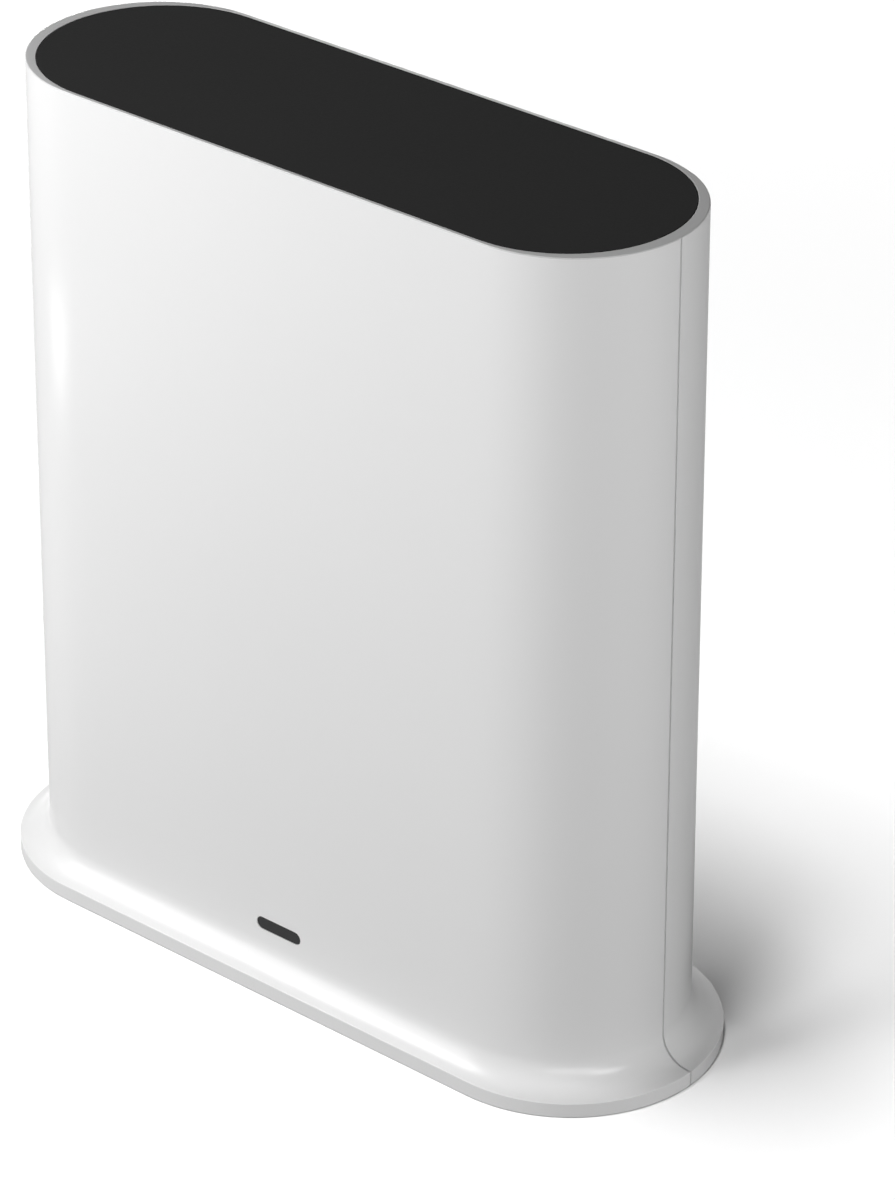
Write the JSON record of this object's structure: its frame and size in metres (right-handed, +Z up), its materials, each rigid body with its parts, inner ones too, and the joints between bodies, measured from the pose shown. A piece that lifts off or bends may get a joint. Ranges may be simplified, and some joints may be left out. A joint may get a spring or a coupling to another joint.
{
  "type": "security camera base station",
  "caption": "Upright white base station with rounded ends on a flared skirt, an inset black top panel, a status window in front and a rear bay of power, network and USB sockets.",
  "frame": {"origin": "on the floor under the middle of the skirt", "axes": "+Z up, +X along the body to the right seen from the front, front faces -Y"},
  "size_m": [0.16, 0.0586, 0.1695],
  "materials": {
    "white_shell": "satin moulded white",
    "bezel_grey": "satin grey",
    "cap_black": "matt black",
    "base_grey": "fine-grained light grey",
    "foot_rubber": "matt",
    "screw_steel": "zinc plated",
    "lens_smoke": "smoked, polished",
    "pipe_clear": "clear",
    "led_package": "moulded",
    "panel_black": "fine-grained",
    "board_green": "solder mask",
    "chip_black": "moulded",
    "pad_grey": "soft",
    "sink_aluminium": "extruded",
    "shield_tin": "tin plated",
    "contact_gold": "gold plated",
    "housing_black": "moulded",
    "coil_grey": "ferrite",
    "can_aluminium": "drawn",
    "button_grey": "satin",
    "plunger_ivory": "moulded"
  },
  "bodies": {
    "station": {"front_shell": "white_shell", "rear_shell": "white_shell", "top_bezel": "bezel_grey", "top_cap": "cap_black", "base_plate": "base_grey", "base_screws": "screw_steel", "rubber_foot_1": "foot_rubber", "rubber_foot_2": "foot_rubber", "rubber_foot_3": "foot_rubber", "rubber_foot_4": "foot_rubber", "led_lens": "lens_smoke", "light_pipe": "pipe_clear", "status_led": "led_package", "port_panel": "panel_black", "panel_screws": "screw_steel", "main_board": "board_green", "board_screws": "screw_steel", "processor": "chip_black", "thermal_pad": "pad_grey", "heat_sink": "sink_aluminium", "heat_sink_screws": "screw_steel", "memory_chip_1": "chip_black", "memory_chip_2": "chip_black", "flash_chip": "chip_black", "radio_shield_1": "shield_tin", "radio_shield_2": "shield_tin", "radio_chip_1": "chip_black", "radio_chip_2": "chip_black", "antenna_1": "contact_gold", "antenna_2": "contact_gold", "antenna_3": "contact_gold", "ethernet_shield": "shield_tin", "ethernet_housing": "housing_black", "ethernet_contacts": "contact_gold", "ethernet_transformer": "chip_black", "usb_shell": "shield_tin", "usb_insulator": "housing_black", "usb_contacts": "contact_gold", "dc_jack_body": "housing_black", "dc_jack_pin": "shield_tin", "dc_jack_spring": "contact_gold", "inductor_1": "coil_grey", "inductor_2": "coil_grey", "capacitor_1": "can_aluminium", "capacitor_2": "can_aluminium", "capacitor_3": "can_aluminium", "sync_switch": "housing_black", "reset_switch": "housing_black"},
    "sync_button": {"sync_button": "button_grey"},
    "sync_plunger": {"sync_plunger": "plunger_ivory"},
    "reset_plunger": {"reset_plunger": "plunger_ivory"}
  },
  "joints": [
    {"name": "sync_press", "type": "slide", "parent": "station", "child": "sync_button", "axis": [0, -1, 0], "range_m": [0, 0.0005], "stiffness_N_per_m": 800},
    {"name": "sync_switch_press", "type": "slide", "parent": "station", "child": "sync_plunger", "axis": [0, -1, 0], "range_m": [0, 0.0005]},
    {"name": "reset_press", "type": "slide", "parent": "station", "child": "reset_plunger", "axis": [0, -1, 0], "range_m": [0, 0.0005], "stiffness_N_per_m": 800}
  ],
  "couplings": [
    {"joint": "sync_switch_press", "follows": "sync_press", "ratio": 1}
  ]
}
